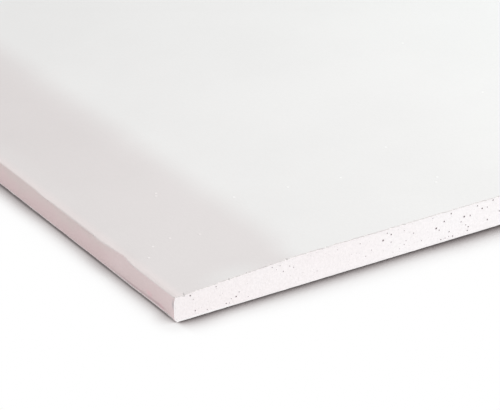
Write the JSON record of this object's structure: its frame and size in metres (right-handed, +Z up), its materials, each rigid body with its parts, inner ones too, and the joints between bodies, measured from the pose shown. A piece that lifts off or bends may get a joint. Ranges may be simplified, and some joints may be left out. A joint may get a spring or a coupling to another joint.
{
  "type": "drywall sheet",
  "caption": "Flat gypsum board: paper-covered face, tapered long edges wrapped in the face paper, square-cut short ends that show the gypsum core, and a paper liner on the back.",
  "frame": {"origin": "middle of the back of the sheet, on the plane it lies on", "axes": "+X across the width between the two tapered long edges, +Y along the length between the two cut ends, +Z up out of the finished face"},
  "size_m": [1.2, 2.4, 0.0125],
  "materials": {
    "gypsum": "matt, finely porous, sawn at the ends",
    "face_paper": "matt, smooth liner paper, off-white with a faint pink cast on the wrapped edge",
    "back_paper": "matt, rough recycled liner paper"
  },
  "bodies": {
    "root": {"gypsum_core": "gypsum", "face_paper": "face_paper", "back_paper": "back_paper"}
  },
  "joints": []
}
